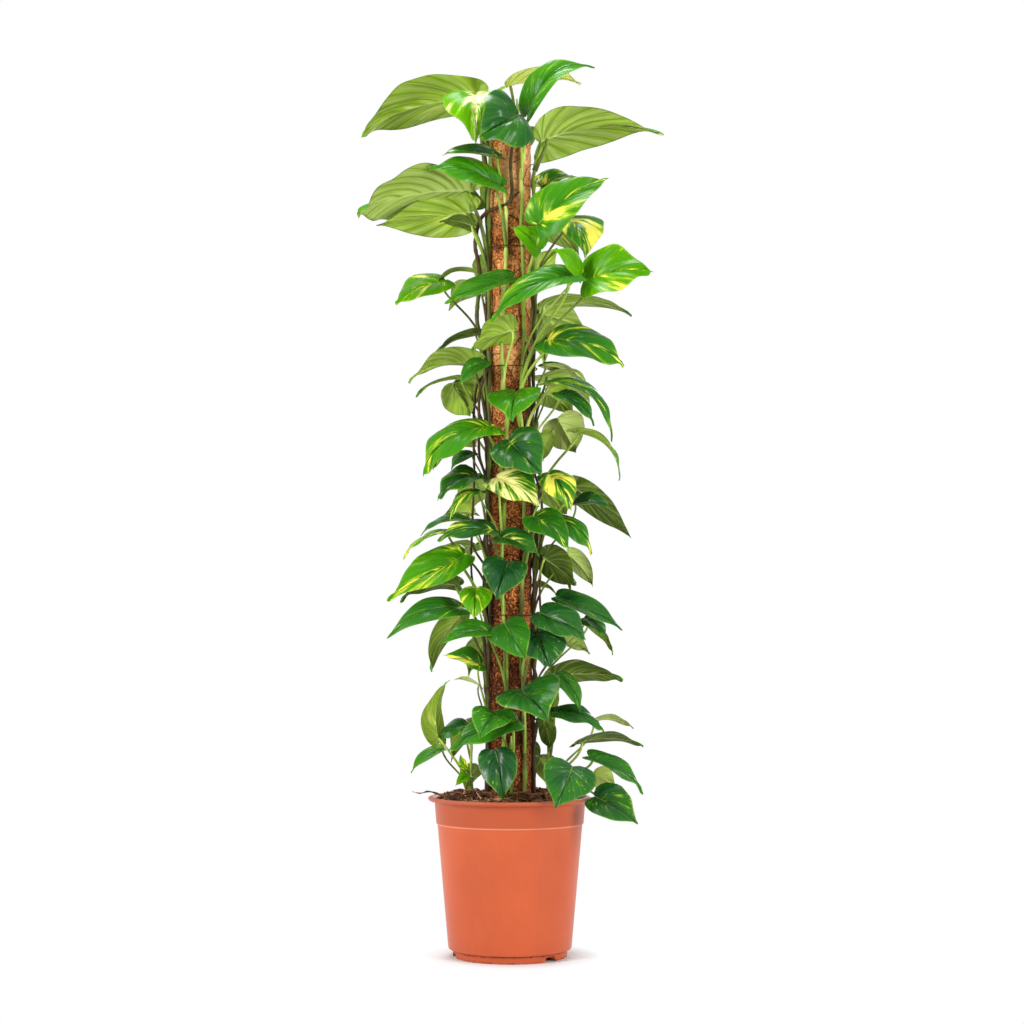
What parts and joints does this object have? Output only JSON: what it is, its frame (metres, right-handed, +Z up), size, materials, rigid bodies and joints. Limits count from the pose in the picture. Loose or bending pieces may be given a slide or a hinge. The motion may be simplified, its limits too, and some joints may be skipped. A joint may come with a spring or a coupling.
{
  "type": "potted climbing plant on a moss pole",
  "caption": "Variegated climbing vine trained up a coir moss pole that stands in a round nursery pot; the planted pole lifts out of the pot.",
  "frame": {"origin": "on the floor under the middle of the pot, on the pole's axis", "axes": "+Z up the pole, +X to the right and -Y towards the viewer of the plant's front"},
  "size_m": [0.4548, 0.277, 1.3331],
  "materials": {
    "pot": "moulded terracotta plastic, satin",
    "soil": "peat and coir potting mix with roots, rough",
    "core": "extruded plastic tube",
    "coir": "coconut fibre mat, loose fibres",
    "tie": "thin twine",
    "leaf": "waxy leaf, green with yellow and cream streaks"
  },
  "bodies": {
    "pot": {"nursery_pot": "pot"},
    "plant": {"root_ball": "soil", "core_tube": "core", "coir_sleeve": "coir", "vine_tie_1": "tie", "vine_tie_2": "tie", "vine_tie_3": "tie", "vine_tie_4": "tie", "vine_tie_5": "tie", "vine_front": "leaf", "vine_right_front": "leaf", "vine_right": "leaf", "vine_right_back": "leaf", "vine_back": "leaf", "vine_left_back": "leaf", "vine_left": "leaf", "vine_left_front": "leaf", "shoot_front": "leaf", "shoot_right": "leaf", "shoot_back": "leaf", "shoot_left": "leaf"}
  },
  "joints": [
    {"name": "lift_out", "type": "slide", "parent": "pot", "child": "plant", "axis": [0, 0, 1], "range_m": [0, 0.26]}
  ]
}
